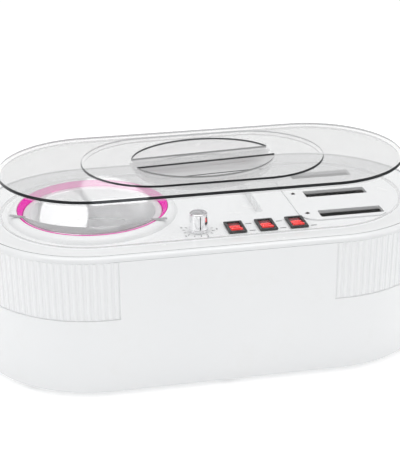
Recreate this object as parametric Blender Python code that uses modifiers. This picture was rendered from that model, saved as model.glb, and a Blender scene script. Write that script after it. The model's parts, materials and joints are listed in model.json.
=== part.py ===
"""Salon wax heater: one round pot and three cartridge slots under a clear lift-off lid.

Metres, +Z up.  X runs along the length, the control side faces -Y, and Z is 0 where
the feet stand.  Every object is one separate piece of the appliance.
"""
import math

import bmesh
import bpy
from mathutils import Matrix, Vector

# ---- driving dimensions ------------------------------------------------------------
HALF = 0.0914                # half the straight run between the round ends
CLEAR = 0.0004               # gap between neighbouring pieces
FOOT_H = 0.0037              # rubber foot, flat bottom to plate
BODY_Z = 0.0030              # lowest edge of the housing
SEAM_Z = 0.1138              # housing meets rim
DECK_Z = 0.1152              # flat top of the control deck
DECK_UNDER = 0.1126
BODY_R = 0.1000              # radius of the round ends at the seam
BODY_R_LOW = 0.0977          # and at the bottom, for the moulding's draft
WALL = 0.0026
RIM_R_IN = 0.0950
RIM_SKIRT = 0.0056           # how far the rim reaches down inside the housing
PANEL_R = 0.0946
PANEL_LIP_Z = 0.1110         # underside of the deck's outer lip
SHOULDER_R, SHOULDER_Z = 0.0900, 0.1176
DISH_R, DISH_Z = 0.0775, 0.1156
CUT_LOW, CUT_HIGH = 0.100, 0.130   # cutters that go right through the deck
LID_R = 0.0750
LID_WALL = 0.0024
LID_FOOT_Z = DECK_Z + 0.0003
LID_TOP_Z = 0.1540
PLATEAU_Z = 0.1558
PLATEAU_HALF = 0.0409
PLATEAU_R = 0.0585

RIB_COUNT = 61               # flutes round each end
RIB_START = 0.0842           # where the flutes begin along the straight run
RIB_Z = 0.0655               # their lower end
RIB_DEPTH = 0.0009

POT_X = -HALF                # the pot is concentric with the left end
POT_RIM_Z = 0.1160
POT_RIM_R = 0.0561
POT_R = 0.0513
POT_BOTTOM_Z = 0.0305
COLLAR_Z = 0.1200
COLLAR_R = 0.0610
COLLAR_FOOT_R = 0.0684
COLLAR_LOW = 0.1080          # lower end of the collar's sleeve
BAND_Z = (0.085, 0.045)      # upper and lower edge of the heater band
CUP_R_IN = POT_R + 0.0006
CUP_R = CUP_R_IN + 0.0015
CUP_TOP, CUP_FLANGE_R = 0.1143, 0.0563

KNOB_X, KNOB_Y = -0.0157, -0.0570
KNOB_R, KNOB_H = 0.0078, 0.0160
SPINDLE_R, SPINDLE_LOW = 0.0029, 0.1010
SWITCH_Y = -0.0585
SWITCH_X = (0.0133, 0.0381, 0.0629)
BEZEL_X, BEZEL_Y = 0.0148, 0.0220
CAN_X, CAN_Y = 0.0063, 0.0096        # half sizes of the switch below its bezel
POCKET_X, POCKET_Y = 0.0051, 0.0087
BLADE_LOW, CAN_LOW, POCKET_LOW = 0.0920, 0.0990, 0.1070
ROCKER_PIVOT_Z = 0.1142
ROCKER_TILT = math.radians(7.0)

SLOT_X = 0.1118
SLOT_Y = (-0.0461, -0.0026, 0.0409)
SLOT_LX, SLOT_LY = 0.0525, 0.0135
WELL_DEPTH = 0.0750
PLATFORM_H = 0.0012
PLATFORM_X = (0.0695, 0.1400)
PLATFORM_Y = 0.0580
PLATFORM_CORNERS = (0.0155, 0.0090)    # at the plate's -X and +X ends
LED_X = 0.0765
LED_Y = (-0.0430, 0.0005, 0.0440)
LED_R, LED_FLANGE_R, LED_LOW = 0.0015, 0.0018, 0.1080

TRAY_X = (-0.0110, 0.0435)
TRAY_Y = (-0.0300, 0.0580)
TRAY_DEPTH = 0.0098
TRAY_WALL, TRAY_CORNER = 0.0018, 0.0040

GRIP_A, GRIP_B = 0.0590, 0.0450
GRIP_TURN = math.radians(4.3)
GRIP_DEPTH = 0.0125
GRIP_RIB = 0.0200

BOSS_R = 0.0915              # distance of the screw bosses from the ends' axes
BOSS_ROD_R, PILOT_R = 0.0045, 0.0021
BOSS_Z = (0.0068, 0.0300)
PILOT_Z = (0.0060, 0.0260)
PLATE_TOP = 0.0065
VENT_Y = (-0.024, -0.008, 0.008, 0.024)
VENT_X, VENT_HALF_X, VENT_HALF_Y = 0.036, 0.024, 0.002
FOOT_X, FOOT_Y, FOOT_R = 0.105, 0.052, 0.0095
INLET_X, INLET_Z = 0.0500, 0.0320
INLET_HALF_X, INLET_HALF_Z = 0.0133, 0.0098
INLET_DEPTH = 0.0160
TERMINALS = ((0.034, 0.030, 0.0069), (0.066, 0.044, 0.0210))

ARC_STEPS = 24               # facets in half a turn of the long outlines
GRIP_STEPS = 32
SHARP = math.radians(32)     # edges turned more than this stay crisp
SCRAPER_DIR = math.radians(255.0)
SCRAPER_Z = COLLAR_Z + 0.0003

# ---- scene and collections ---------------------------------------------------------
for old in list(bpy.data.objects):
    bpy.data.objects.remove(old, do_unlink=True)

PARTS = bpy.data.collections.new("wax_heater")
CUTTERS = bpy.data.collections.new("cutters")
for collection in (PARTS, CUTTERS):
    bpy.context.scene.collection.children.link(collection)


def material(name, colour, roughness, metallic=0.0, alpha=1.0):
    mat = bpy.data.materials.new(name)
    mat.use_nodes = True
    shader = mat.node_tree.nodes["Principled BSDF"]
    shader.inputs["Base Color"].default_value = (*colour, 1.0)
    shader.inputs["Roughness"].default_value = roughness
    shader.inputs["Metallic"].default_value = metallic
    shader.inputs["Alpha"].default_value = alpha
    return mat


WHITE = material("white_abs", (0.86, 0.87, 0.88), 0.22)
CLEAR_PC = material("clear_lid", (0.93, 0.94, 0.95), 0.05, 0.0, 0.35)
PINK = material("pink_ring", (0.80, 0.02, 0.45), 0.30, 0.0, 0.85)
ALUMINIUM = material("spun_aluminium", (0.72, 0.73, 0.74), 0.28, 1.0)
CHROME = material("chrome", (0.80, 0.80, 0.81), 0.08, 1.0)
STEEL = material("steel", (0.55, 0.56, 0.57), 0.35, 1.0)
BRASS = material("brass", (0.70, 0.52, 0.22), 0.30, 1.0)
BLACK = material("black_nylon", (0.02, 0.02, 0.02), 0.45)
RED = material("red_rocker", (0.80, 0.03, 0.03), 0.25)
RUBBER = material("grey_rubber", (0.10, 0.10, 0.10), 0.80)
DARK_WELL = material("dark_anodised", (0.10, 0.10, 0.11), 0.50, 0.8)
MICA = material("mica_heater", (0.45, 0.38, 0.28), 0.60)
BOARD = material("green_board", (0.03, 0.20, 0.08), 0.50)
LAMP = material("lamp_lens", (0.06, 0.05, 0.05), 0.20)


# ---- making pieces -----------------------------------------------------------------
def place(name, mesh, mat=None, collection=PARTS):
    """Link a mesh as a named piece, or as a hidden tool when it has no material."""
    obj = bpy.data.objects.new(name, mesh)
    collection.objects.link(obj)
    if mat is None:
        obj.hide_render = True
        obj.display_type = "WIRE"
    else:
        mesh.materials.append(mat)
    return obj


def tool(name, mesh):
    return place(name, mesh, None, CUTTERS)


def stadium(half, radius, z):
    """Outline with two straight sides and two round ends, anticlockwise from -Y."""
    points = []
    for side in (1, -1):
        for i in range(ARC_STEPS + 1):
            angle = math.pi * (i / ARC_STEPS - 0.5) + (0 if side > 0 else math.pi)
            points.append(Vector((side * half + radius * math.cos(angle), radius * math.sin(angle), z)))
    return points


def grip_outline(a, b, z):
    """Ellipse of the lid's grip, turned a little in plan."""
    points = []
    for i in range(GRIP_STEPS):
        angle = 2 * math.pi * i / GRIP_STEPS
        spot = Vector((a * math.cos(angle), b * math.sin(angle), z))
        points.append(Matrix.Rotation(GRIP_TURN, 3, "Z") @ spot)
    return points


def fluted(radius, z, depth):
    """Stadium outline with small flutes of the given depth round both ends."""
    lead = HALF - RIB_START
    length = 2 * lead + math.pi * BODY_R
    points = []
    for side in (1, -1):
        for i in range(2 * RIB_COUNT + 1):
            run = length * i / (2 * RIB_COUNT)
            reach = radius - (depth if i % 2 else 0.0)
            if run < lead:
                along, angle = RIB_START + run, -math.pi / 2
            elif run > length - lead:
                along, angle = HALF - (run - length + lead), math.pi / 2
            else:
                along, angle = HALF, (run - lead) / BODY_R - math.pi / 2
            points.append(Vector((side * (along + reach * math.cos(angle)),
                                  side * reach * math.sin(angle), z)))
    return points


def loft(name, rings, closed=False):
    """Skin between outlines of equal length, capped at both ends or closed on itself."""
    bm = bmesh.new()
    loops = [[bm.verts.new(point) for point in ring] for ring in rings]
    pairs = list(zip(loops, loops[1:]))
    if closed:
        pairs.append((loops[-1], loops[0]))
    else:
        bm.faces.new(loops[0][::-1])
        bm.faces.new(loops[-1])
    for low, high in pairs:
        count = len(low)
        for i in range(count):
            j = (i + 1) % count
            bm.faces.new((low[i], low[j], high[j], high[i]))
    bmesh.ops.recalc_face_normals(bm, faces=bm.faces)
    mesh = bpy.data.meshes.new(name)
    bm.to_mesh(mesh)
    bm.free()
    mesh.shade_smooth()
    mesh.set_sharp_from_angle(angle=SHARP)
    return mesh


def block(name, size, centre, turn=0.0):
    bm = bmesh.new()
    bmesh.ops.create_cube(bm, size=1.0)
    bmesh.ops.scale(bm, vec=size, verts=bm.verts)
    bmesh.ops.transform(bm, matrix=Matrix.Translation(centre) @ Matrix.Rotation(turn, 4, "Z"),
                        verts=bm.verts)
    mesh = bpy.data.meshes.new(name)
    bm.to_mesh(mesh)
    bm.free()
    return mesh


def span(name, low, high):
    """A box between two corners."""
    size = [b - a for a, b in zip(low, high)]
    centre = [(a + b) / 2 for a, b in zip(low, high)]
    return block(name, size, centre)


def rod(name, radius, centre, low, high, steps):
    """An upright round bar between two heights."""
    bm = bmesh.new()
    middle = Matrix.Translation((*centre, (low + high) / 2))
    bmesh.ops.create_cone(bm, cap_ends=True, segments=steps, radius1=radius, radius2=radius,
                          depth=high - low, matrix=middle)
    mesh = bpy.data.meshes.new(name)
    bm.to_mesh(mesh)
    bm.free()
    mesh.shade_smooth()
    mesh.set_sharp_from_angle(angle=SHARP)
    return mesh


def turned(name, profile, centre, steps=40, closed=False):
    """Half section in (radius, z), swept round an upright axis by a Screw modifier."""
    mesh = bpy.data.meshes.new(name)
    edges = [(i, i + 1) for i in range(len(profile) - 1)]
    if closed:
        edges.append((len(profile) - 1, 0))
    mesh.from_pydata([(r, 0.0, z) for r, z in profile], edges, [])
    obj = bpy.data.objects.new(name, mesh)
    PARTS.objects.link(obj)
    obj.location = (centre[0], centre[1], 0.0)
    screw = obj.modifiers.new("turn", "SCREW")
    screw.steps = steps
    screw.render_steps = steps
    screw.use_merge_vertices = True
    screw.merge_threshold = 0.00005
    screw.use_smooth_shade = True
    return obj


def finish(obj, mat):
    obj.data.materials.append(mat)
    return obj


def as_tool(obj):
    PARTS.objects.unlink(obj)
    CUTTERS.objects.link(obj)
    obj.hide_render = True
    obj.display_type = "WIRE"
    return obj


def boolean(obj, other, operation):
    mod = obj.modifiers.new(other.name, "BOOLEAN")
    mod.operation = operation
    mod.object = other
    mod.solver = "EXACT"


def cut(obj, mesh):
    boolean(obj, tool("cut_" + mesh.name, mesh), "DIFFERENCE")


def join(obj, mesh):
    boolean(obj, tool("add_" + mesh.name, mesh), "UNION")


def bevel(obj, width):
    mod = obj.modifiers.new("edge", "BEVEL")
    mod.width = width
    mod.segments = 1
    mod.limit_method = "ANGLE"
    mod.angle_limit = math.radians(40)


# ---- casing ------------------------------------------------------------------------
def boss_spots():
    """Six screw places just inside the housing wall: front, back and four on the ends."""
    spots = [(0.0, -BOSS_R), (0.0, BOSS_R)]
    for side in (1, -1):
        for lean in (50, -50):
            angle = math.radians(lean)
            spots.append((side * (HALF + BOSS_R * math.cos(angle)), BOSS_R * math.sin(angle)))
    return spots


def body_radius(z):
    """Outer radius of the housing, which widens evenly from bottom to seam."""
    share = (z - BODY_Z) / (SEAM_Z - BODY_Z)
    return BODY_R_LOW + share * (BODY_R - BODY_R_LOW)


def lower_housing():
    edge = 0.0015
    top = SEAM_Z - 0.0002
    rings = [fluted(BODY_R_LOW - 0.8 * edge, BODY_Z, 0.0),
             fluted(body_radius(BODY_Z + edge), BODY_Z + edge, 0.0),
             fluted(body_radius(RIB_Z), RIB_Z, 0.0),
             fluted(body_radius(RIB_Z + 0.0008), RIB_Z + 0.0008, RIB_DEPTH),
             fluted(body_radius(top), top, RIB_DEPTH)]
    obj = place("lower_housing", loft("lower_housing", rings), WHITE)
    low, high = BODY_Z - 0.002, top + 0.002
    cut(obj, loft("housing_hollow", [stadium(HALF, BODY_R_LOW - WALL, low),
                                     stadium(HALF, BODY_R - WALL, high)]))
    for i, spot in enumerate(boss_spots(), 1):
        join(obj, rod(f"boss_{i}", BOSS_ROD_R, spot, *BOSS_Z, 12))
    for i, spot in enumerate(boss_spots(), 1):
        cut(obj, rod(f"pilot_{i}", PILOT_R, spot, *PILOT_Z, 8))
    reach_x, reach_z = INLET_HALF_X + CLEAR, INLET_HALF_Z + CLEAR
    cut(obj, span("inlet_hole", (INLET_X - reach_x, BODY_R - 0.015, INLET_Z - reach_z),
                  (INLET_X + reach_x, BODY_R + 0.010, INLET_Z + reach_z)))
    return obj


def base_plate():
    through = (0.0, PLATE_TOP + 0.0035)
    radius = BODY_R_LOW - WALL - CLEAR
    obj = place("base_plate", loft("base_plate", [stadium(HALF, radius, FOOT_H + 0.0003),
                                                  stadium(HALF, radius, PLATE_TOP)]), WHITE)
    for i, spot in enumerate(boss_spots(), 1):
        cut(obj, rod(f"base_hole_{i}", PILOT_R, spot, *through, 8))
    for row, y in enumerate(VENT_Y, 1):
        for side in (-1, 1):
            x = side * VENT_X
            cut(obj, span(f"vent_{row}_{side + 2}", (x - VENT_HALF_X, y - VENT_HALF_Y, through[0]),
                          (x + VENT_HALF_X, y + VENT_HALF_Y, through[1])))
    return obj


def feet():
    edge = FOOT_R - 0.0007
    spots = [(sx * FOOT_X, sy * FOOT_Y) for sx in (-1, 1) for sy in (-1, 1)]
    for i, spot in enumerate(spots, 1):
        foot = turned(f"foot_{i}", [(0.0, FOOT_H), (edge, FOOT_H), (FOOT_R, FOOT_H - 0.0006),
                                    (edge, 0.0), (0.0, 0.0)], spot, 20)
        finish(foot, RUBBER)


def base_screws():
    head, seat, tip = 0.0016, FOOT_H, 0.0220
    for i, spot in enumerate(boss_spots(), 1):
        screw = turned(f"base_screw_{i}", [(0.0, tip), (0.0008, tip - 0.0004), (0.0016, tip - 0.003),
                                           (0.0016, seat), (0.0034, seat), (0.0030, head + 0.0004),
                                           (0.0022, head), (0.0, head)], spot, 12)
        finish(screw, STEEL)


def upper_rim():
    seat = SEAM_Z + 0.0003
    section = [(BODY_R, seat), (BODY_R - 0.0003, seat + 0.0012), (BODY_R - 0.0014, seat + 0.0025),
               (BODY_R - 0.0030, seat + 0.0033), (RIM_R_IN + 0.0004, seat + 0.0036),
               (RIM_R_IN, seat + 0.0032), (RIM_R_IN, seat - RIM_SKIRT),
               (BODY_R - WALL - CLEAR, seat - RIM_SKIRT), (BODY_R - WALL - CLEAR, seat)]
    rings = [stadium(HALF, r, z) for r, z in section]
    return place("upper_rim", loft("upper_rim", rings, closed=True), WHITE)


def rounded_box(name, x0, x1, y0, y1, z0, z1, radius, steps=5, radius_x1=None):
    """An upright block with round corners in plan, which may differ at its +X end."""
    end = radius if radius_x1 is None else radius_x1
    outline = []
    for cx, cy, turn, corner in ((x1 - end, y0 + end, -90, end), (x1 - end, y1 - end, 0, end),
                                 (x0 + radius, y1 - radius, 90, radius),
                                 (x0 + radius, y0 + radius, 180, radius)):
        for i in range(steps + 1):
            angle = math.radians(turn + 90 * i / steps)
            outline.append((cx + corner * math.cos(angle), cy + corner * math.sin(angle)))
    rings = [[Vector((x, y, z)) for x, y in outline] for z in (z0, z1)]
    return loft(name, rings)


def top_panel():
    rings = [stadium(HALF, r, z) for r, z in (
        (PANEL_R - 0.0022, DECK_UNDER), (PANEL_R - 0.0020, PANEL_LIP_Z), (PANEL_R, PANEL_LIP_Z),
        (PANEL_R, SHOULDER_Z - 0.0008), (PANEL_R - 0.0010, SHOULDER_Z + 0.0002),
        (SHOULDER_R, SHOULDER_Z), (DISH_R, DISH_Z), (LID_R + 0.0008, DECK_Z))]
    obj = place("top_panel", loft("top_panel", rings), WHITE)
    sleeve, ledge = COLLAR_R + 0.0030, COLLAR_R - 0.0022
    collar = turned("collar", [
        (COLLAR_R, COLLAR_Z - 0.0006), (COLLAR_R + 0.0006, COLLAR_Z),
        (COLLAR_FOOT_R - 0.0052, COLLAR_Z), (COLLAR_FOOT_R - 0.0029, COLLAR_Z - 0.0012),
        (COLLAR_FOOT_R - 0.0010, COLLAR_Z - 0.0038), (COLLAR_FOOT_R, DECK_Z - 0.0004),
        (COLLAR_FOOT_R, DECK_UNDER + 0.0004), (sleeve, DECK_UNDER + 0.0004), (sleeve, COLLAR_LOW),
        (ledge, COLLAR_LOW), (ledge, COLLAR_LOW + 0.0020), (COLLAR_R, COLLAR_LOW + 0.0020)],
        (POT_X, 0.0), 40, closed=True)
    cut(obj, rod("well_hole", COLLAR_R + 0.0015, (POT_X, 0.0), CUT_LOW, CUT_HIGH, 40))
    boolean(obj, as_tool(collar), "UNION")
    cut(obj, tray_block("tray_opening", TRAY_WALL + CLEAR, CUT_LOW, CUT_HIGH))
    cut(obj, plate_block("plate_opening", CLEAR, CUT_LOW, CUT_HIGH))
    for i, x in enumerate(SWITCH_X, 1):
        cut(obj, span(f"switch_hole_{i}", (x - CAN_X - CLEAR, SWITCH_Y - CAN_Y - CLEAR, CUT_LOW),
                      (x + CAN_X + CLEAR, SWITCH_Y + CAN_Y + CLEAR, CUT_HIGH)))
    cut(obj, rod("knob_hole", SPINDLE_R + 2 * CLEAR, (KNOB_X, KNOB_Y), CUT_LOW, CUT_HIGH, 12))
    return obj


def tray_block(name, grow, low, high):
    """The tool tray's outline, grown all round."""
    return rounded_box(name, TRAY_X[0] - grow, TRAY_X[1] + grow, TRAY_Y[0] - grow, TRAY_Y[1] + grow,
                       low, high, TRAY_CORNER + grow, 3)


def plate_block(name, grow, low, high):
    """The slot plate's outline, grown all round."""
    near, far = PLATFORM_CORNERS
    return rounded_box(name, PLATFORM_X[0] - grow, PLATFORM_X[1] + grow, -PLATFORM_Y - grow,
                       PLATFORM_Y + grow, low, high, near + grow, radius_x1=far + grow)


def tool_tray():
    """Open tray let into the deck from below, with a flange under the deck."""
    floor, under = DECK_Z - TRAY_DEPTH, DECK_UNDER - CLEAR
    obj = place("tool_tray", tray_block("tool_tray", TRAY_WALL, floor - TRAY_WALL, DECK_Z), WHITE)
    join(obj, tray_block("tray_flange", TRAY_WALL + 0.0030, under - 0.0014, under))
    cut(obj, tray_block("tray_hollow", 0.0, floor, CUT_HIGH))
    return obj


def slot_plate():
    """Raised plate let into the deck over the wells, with the slots and the lamp holes."""
    block_in = plate_block("slot_plate", 0.0, DECK_UNDER, DECK_Z + PLATFORM_H)
    obj = place("slot_plate", block_in, WHITE)
    for i, y in enumerate(SLOT_Y, 1):
        cut(obj, rounded_box(f"slot_{i}", SLOT_X - SLOT_LX / 2, SLOT_X + SLOT_LX / 2,
                             y - SLOT_LY / 2, y + SLOT_LY / 2, CUT_LOW, CUT_HIGH, 0.0012, 2))
    for i, y in enumerate(LED_Y, 1):
        cut(obj, rod(f"led_hole_{i}", LED_R + CLEAR, (LED_X, y), CUT_LOW, CUT_HIGH, 10))
    return obj


# ---- pot, heater and scraper -------------------------------------------------------
def collar_ring():
    top, seat, step = COLLAR_Z - 0.0006, COLLAR_LOW + 0.0024, COLLAR_LOW + 0.0046
    inner = POT_RIM_R + 0.0006
    ring = turned("collar_ring", [
        (COLLAR_R - 0.0020, top), (COLLAR_R - CLEAR, top), (COLLAR_R - CLEAR, seat),
        (inner - 0.0023, seat), (inner - 0.0023, step), (inner, step), (inner, POT_RIM_Z - 0.0002)],
        (POT_X, 0.0), 40, closed=True)
    return finish(ring, PINK)


def heater_cup():
    floor = POT_BOTTOM_Z - 0.0006
    cup = turned("heater_cup", [
        (0.0, floor), (CUP_R_IN - 0.006, floor), (CUP_R_IN, floor + 0.006), (CUP_R_IN, CUP_TOP),
        (CUP_FLANGE_R, CUP_TOP), (CUP_FLANGE_R, CUP_TOP - 0.0013), (CUP_R, CUP_TOP - 0.0013),
        (CUP_R, floor + 0.005),
        (CUP_R - 0.0065, floor - 0.0015), (0.0, floor - 0.0015)], (POT_X, 0.0), 32)
    return finish(cup, ALUMINIUM)


def wax_pot():
    floor = POT_BOTTOM_Z + 0.0012
    inner = POT_R - 0.0011
    pot = turned("wax_pot", [
        (0.0, floor), (inner - 0.008, floor), (inner - 0.002, floor + 0.0028),
        (inner, floor + 0.009), (inner, POT_RIM_Z - 0.0012), (inner + 0.0009, POT_RIM_Z),
        (POT_RIM_R - 0.0006, POT_RIM_Z), (POT_RIM_R, POT_RIM_Z - 0.0005),
        (POT_RIM_R - 0.0004, POT_RIM_Z - 0.0012), (POT_R, POT_RIM_Z - 0.0012),
        (POT_R, floor + 0.008), (POT_R - 0.0025, floor + 0.0018), (POT_R - 0.009, POT_BOTTOM_Z),
        (0.0, POT_BOTTOM_Z)], (POT_X, 0.0), 32)
    return finish(pot, ALUMINIUM)


def scraper_bar():
    """Crescent that spans one side of the pot, with a lug at each tip on the collar."""
    outer, deepest, sweep = 0.0593, 0.0475, math.radians(62)
    tip_u, tip_v = outer * math.cos(sweep), outer * math.sin(sweep)
    back = (outer ** 2 - deepest ** 2) / (2 * (deepest - tip_u))
    radius = deepest + back
    half_inner = math.asin(tip_v / radius)
    steps = 16
    outline = []
    for i in range(steps + 1):
        angle = sweep * (2 * i / steps - 1)
        outline.append((outer * math.cos(angle), outer * math.sin(angle)))
    lug_end = (tip_u - 0.0020, tip_v + 0.0105)
    outline += [lug_end, (lug_end[0] - 0.0026, lug_end[1] - 0.0006)]
    for i in range(steps - 1):
        angle = half_inner * (1 - 2 * (i + 1) / steps)
        outline.append((radius * math.cos(angle) - back, radius * math.sin(angle)))
    outline += [(lug_end[0] - 0.0026, -lug_end[1] + 0.0006), (lug_end[0], -lug_end[1])]
    place_in = Matrix.Translation((POT_X, 0, 0)) @ Matrix.Rotation(SCRAPER_DIR, 4, "Z")
    rings = [[place_in @ Vector((u, v, z)) for u, v in outline]
             for z in (SCRAPER_Z, SCRAPER_Z + 0.0012)]
    return place("scraper_bar", loft("scraper_bar", rings), ALUMINIUM)


def band_heater():
    inner = CUP_R + CLEAR
    high, low = BAND_Z
    band = turned("band_heater", [(inner, high), (inner + 0.0030, high), (inner + 0.0030, low),
                                  (inner, low)], (POT_X, 0.0), 32, closed=True)
    cut(band, span("band_gap", (POT_X + 0.040, -0.002, low - 0.005),
                   (POT_X + 0.070, 0.002, high + 0.005)))
    return finish(band, MICA)


def thermal_fuse():
    reach, angle = CUP_R + 0.0090, math.radians(60)
    spot = (POT_X + reach * math.cos(angle), reach * math.sin(angle))
    return place("thermal_fuse", rod("thermal_fuse", 0.0035, spot, 0.056, 0.074, 12), BRASS)


# ---- controls ----------------------------------------------------------------------
def thermostat_body():
    top = DECK_UNDER - 0.0003
    obj = place("thermostat_body", span("thermostat_body", (KNOB_X - 0.012, KNOB_Y - 0.011, 0.092),
                                        (KNOB_X + 0.012, KNOB_Y + 0.013, top)), BLACK)
    cut(obj, rod("spindle_hole", SPINDLE_R + 0.0005, (KNOB_X, KNOB_Y), CUT_LOW, CUT_HIGH, 12))
    return obj


def thermostat_knob():
    base = DECK_Z + 0.0004
    top = DECK_Z + KNOB_H
    knob = turned("thermostat_knob", [
        (0.0, top), (KNOB_R - 0.0018, top), (KNOB_R - 0.0008, top - 0.0004),
        (KNOB_R - 0.0004, top - 0.0014), (KNOB_R - 0.0004, base + 0.0024), (KNOB_R, base + 0.0018),
        (KNOB_R, base), (SPINDLE_R, base), (SPINDLE_R, SPINDLE_LOW), (0.0, SPINDLE_LOW)],
        (KNOB_X, KNOB_Y), 32)
    cut(knob, span("pointer", (KNOB_X - 0.0004, KNOB_Y - 0.0100, top - 0.0006),
                   (KNOB_X + 0.0004, KNOB_Y - 0.0020, top + 0.0010)))
    return finish(knob, CHROME)


def switch_body(i, x):
    seat = DECK_Z + 0.0003
    bezel = span(f"switch_body_{i}", (x - BEZEL_X / 2, SWITCH_Y - BEZEL_Y / 2, seat),
                 (x + BEZEL_X / 2, SWITCH_Y + BEZEL_Y / 2, seat + 0.0017))
    obj = place(f"switch_body_{i}", bezel, BLACK)
    bevel(obj, 0.0006)
    join(obj, span(f"switch_can_{i}", (x - CAN_X, SWITCH_Y - CAN_Y, CAN_LOW),
                   (x + CAN_X, SWITCH_Y + CAN_Y, seat + 0.0004)))
    cut(obj, span(f"switch_pocket_{i}", (x - POCKET_X, SWITCH_Y - POCKET_Y, POCKET_LOW),
                  (x + POCKET_X, SWITCH_Y + POCKET_Y, CUT_HIGH)))
    for k, y in enumerate((-0.005, 0.005), 1):
        join(obj, span(f"blade_{i}_{k}", (x - 0.0024, SWITCH_Y + y - 0.0004, BLADE_LOW),
                       (x + 0.0024, SWITCH_Y + y + 0.0004, CAN_LOW + 0.0010)))
    return obj


def rocker(i, x):
    """Rocker with two flats that meet over its pivot, resting with its far end down."""
    section = [(-0.0079, -0.0008), (0.0, -0.0042), (0.0079, -0.0008), (0.0079, 0.0030),
               (0.0040, 0.0024), (0.0, 0.0021), (-0.0040, 0.0024), (-0.0079, 0.0030)]
    turn = Matrix.Rotation(-ROCKER_TILT, 3, "X")
    rings = []
    for side in (-0.0047, 0.0047):
        rings.append([turn @ Vector((side, y, z)) for y, z in section])
    obj = place(f"rocker_{i}", loft(f"rocker_{i}", rings), RED)
    obj.location = (x, SWITCH_Y, ROCKER_PIVOT_Z)
    bevel(obj, 0.0003)
    return obj


def indicator_led(i, y):
    top = DECK_Z + PLATFORM_H + 0.0008
    flange = LED_LOW + 0.0012
    led = turned(f"indicator_led_{i}", [
        (0.0, top), (LED_R - 0.0007, top - 0.0001), (LED_R - 0.0001, top - 0.0007),
        (LED_R, top - 0.0012), (LED_R, flange), (LED_FLANGE_R, flange), (LED_FLANGE_R, LED_LOW),
        (0.0, LED_LOW)], (LED_X, y), 12)
    return finish(led, LAMP)


# ---- cartridge side ----------------------------------------------------------------
def cartridge_well(i, y):
    top = DECK_UNDER - 0.0003
    wall, spare = 0.0014, 0.0005
    lx, ly = SLOT_LX / 2 + spare, SLOT_LY / 2 + spare
    low = top - WELL_DEPTH
    outside = span(f"cartridge_well_{i}", (SLOT_X - lx - wall, y - ly - wall, low),
                   (SLOT_X + lx + wall, y + ly + wall, top))
    obj = place(f"cartridge_well_{i}", outside, DARK_WELL)
    cut(obj, span(f"well_hollow_{i}", (SLOT_X - lx, y - ly, low + wall),
                  (SLOT_X + lx, y + ly, top + 0.01)))
    return obj


def cartridge_heater(i, y):
    front = y + SLOT_LY / 2 + 0.0019 + CLEAR
    plate = span(f"cartridge_heater_{i}", (SLOT_X - 0.020, front, 0.055),
                 (SLOT_X + 0.020, front + 0.0050, 0.095))
    obj = place(f"cartridge_heater_{i}", plate, MICA)
    bevel(obj, 0.0008)
    return obj


# ---- mains side --------------------------------------------------------------------
def power_inlet():
    wall = body_radius(INLET_Z)
    flange = span("power_inlet", (INLET_X - 0.0150, wall + 0.0003, INLET_Z - 0.0118),
                  (INLET_X + 0.0150, wall + 0.0015, INLET_Z + 0.0118))
    obj = place("power_inlet", flange, BLACK)
    join(obj, span("inlet_can", (INLET_X - INLET_HALF_X, 0.0740, INLET_Z - INLET_HALF_Z),
                   (INLET_X + INLET_HALF_X, wall + 0.0008, INLET_Z + INLET_HALF_Z)))
    socket = rounded_box("inlet_socket", -0.0115, 0.0115, -0.0080, 0.0080,
                         -INLET_DEPTH, 0.0100, 0.0030, 3)
    socket.transform(Matrix.Translation((INLET_X, wall, INLET_Z))
                     @ Matrix.Rotation(-math.pi / 2, 4, "X"))
    cut(obj, socket)
    floor = wall - INLET_DEPTH
    for i, (dx, dz) in enumerate(((-0.007, -0.002), (0.0, 0.002), (0.007, -0.002)), 1):
        pin = span(f"inlet_pin_{i}", (INLET_X + dx - 0.001, floor + 0.0003, INLET_Z + dz - 0.002),
                   (INLET_X + dx + 0.001, wall - 0.0020, INLET_Z + dz + 0.002))
        bevel(place(f"inlet_pin_{i}", pin, BRASS), 0.0003)


def terminal_block():
    obj = place("terminal_block", span("terminal_block", *TERMINALS), BLACK)
    for k, x in enumerate((0.040, 0.050, 0.060), 1):
        cut(obj, rod(f"terminal_{k}", 0.0022, (x, 0.037), 0.0140, 0.0300, 10))
    return obj


def led_board():
    board = span("led_board", (LED_X - 0.0050, LED_Y[0] - 0.006, LED_LOW - 0.0022),
                 (LED_X + 0.0050, LED_Y[2] + 0.006, LED_LOW - 0.0006))
    return place("led_board", board, BOARD)


def wire(name, route, mat):
    """Insulated lead on a smooth route of hand-set points."""
    spline_points = []
    dense = 4
    for i in range(len(route) - 1):
        a = Vector(route[max(i - 1, 0)])
        b, c = Vector(route[i]), Vector(route[i + 1])
        d = Vector(route[min(i + 2, len(route) - 1)])
        for k in range(dense):
            t = k / dense
            spline_points.append(0.5 * (2 * b + (c - a) * t + (2 * a - 5 * b + 4 * c - d) * t ** 2
                                        + (3 * b - a - 3 * c + d) * t ** 3))
    spline_points.append(Vector(route[-1]))
    curve = bpy.data.curves.new(name, "CURVE")
    curve.dimensions = "3D"
    curve.bevel_depth = 0.0013
    curve.bevel_resolution = 2
    curve.use_fill_caps = True
    line = curve.splines.new("POLY")
    line.points.add(len(spline_points) - 1)
    for point, spot in zip(line.points, spline_points):
        point.co = (*spot, 1.0)
    obj = bpy.data.objects.new(name, curve)
    PARTS.objects.link(obj)
    curve.materials.append(mat)
    return obj


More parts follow.
